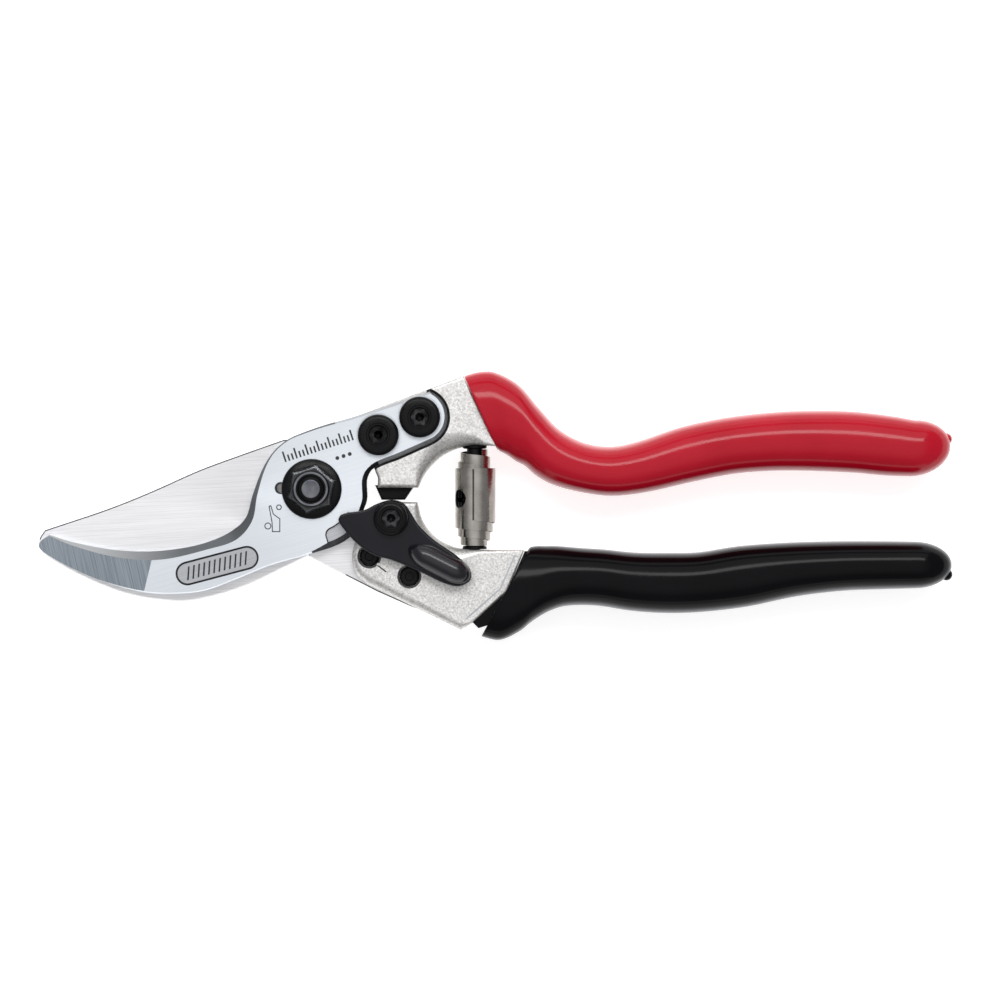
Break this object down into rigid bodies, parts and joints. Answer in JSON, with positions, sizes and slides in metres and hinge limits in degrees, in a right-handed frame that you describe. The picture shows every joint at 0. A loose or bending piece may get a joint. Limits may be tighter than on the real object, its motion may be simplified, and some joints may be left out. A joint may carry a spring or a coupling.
{
  "type": "bypass pruner",
  "caption": "Bypass pruner with a hooked counter blade, a wide curved cutting blade, gripped aluminium handles, a volute spring and a thumb catch.",
  "frame": {"origin": "on the pivot bolt's axis, at the flat face of its head, which is the plane that the tool rests on; the blades slide on each other 8.6 mm above it", "axes": "+X from the blade tips towards the ends of the grips, +Y from the black grip towards the red one, +Z along the pivot bolt towards its nut; the tool lies on its back side"},
  "size_m": [0.2109, 0.0606, 0.0195],
  "materials": {
    "satin_steel": "satin ground steel",
    "brushed_steel": "brushed steel along the blade",
    "cast_aluminium": "fine matt blasted aluminium",
    "red_coating": "glossy dipped vinyl",
    "black_coating": "glossy dipped vinyl",
    "black_lever": "satin black with a glossy thumb nub",
    "black_oxide": "black oxide on steel",
    "nickel": "nickel-plated spring strip",
    "bronze": "oiled sintered bronze",
    "black_rubber": "moulded black rubber",
    "nylon": "pale nylon"
  },
  "bodies": {
    "hook_half": {"counter_blade": "satin_steel", "upper_handle": "cast_aluminium", "upper_grip": "red_coating", "counter_blade_screw_1": "black_oxide", "counter_blade_screw_2": "black_oxide", "pivot_bolt": "black_oxide", "pivot_nut": "black_oxide", "nut_locking_ring": "nylon", "spring_washer": "nickel", "thrust_washer": "bronze", "buffer": "black_rubber", "upper_spring_pin": "black_oxide", "volute_spring": "nickel"},
    "blade_half": {"cutting_blade": "brushed_steel", "pivot_bush": "bronze", "lower_handle": "cast_aluminium", "lower_grip": "black_coating", "blade_screw_1": "black_oxide", "blade_screw_2": "black_oxide", "lower_spring_pin": "black_oxide", "catch_bush": "bronze", "catch_spring_washer": "nickel", "catch_screw": "black_oxide"},
    "catch": {"catch_lever": "black_lever"}
  },
  "joints": [
    {"name": "main_pivot", "type": "hinge", "parent": "hook_half", "child": "blade_half", "pos_m": [0, 0, 0.0086], "axis": [0, 0, -1], "range_deg": [0, 30], "deforming": ["volute_spring"]},
    {"name": "catch_pivot", "type": "hinge", "parent": "blade_half", "child": "catch", "pos_m": [0.0183, -0.0067, 0.0144], "axis": [0, 0, 1], "range_deg": [0, 35]}
  ]
}
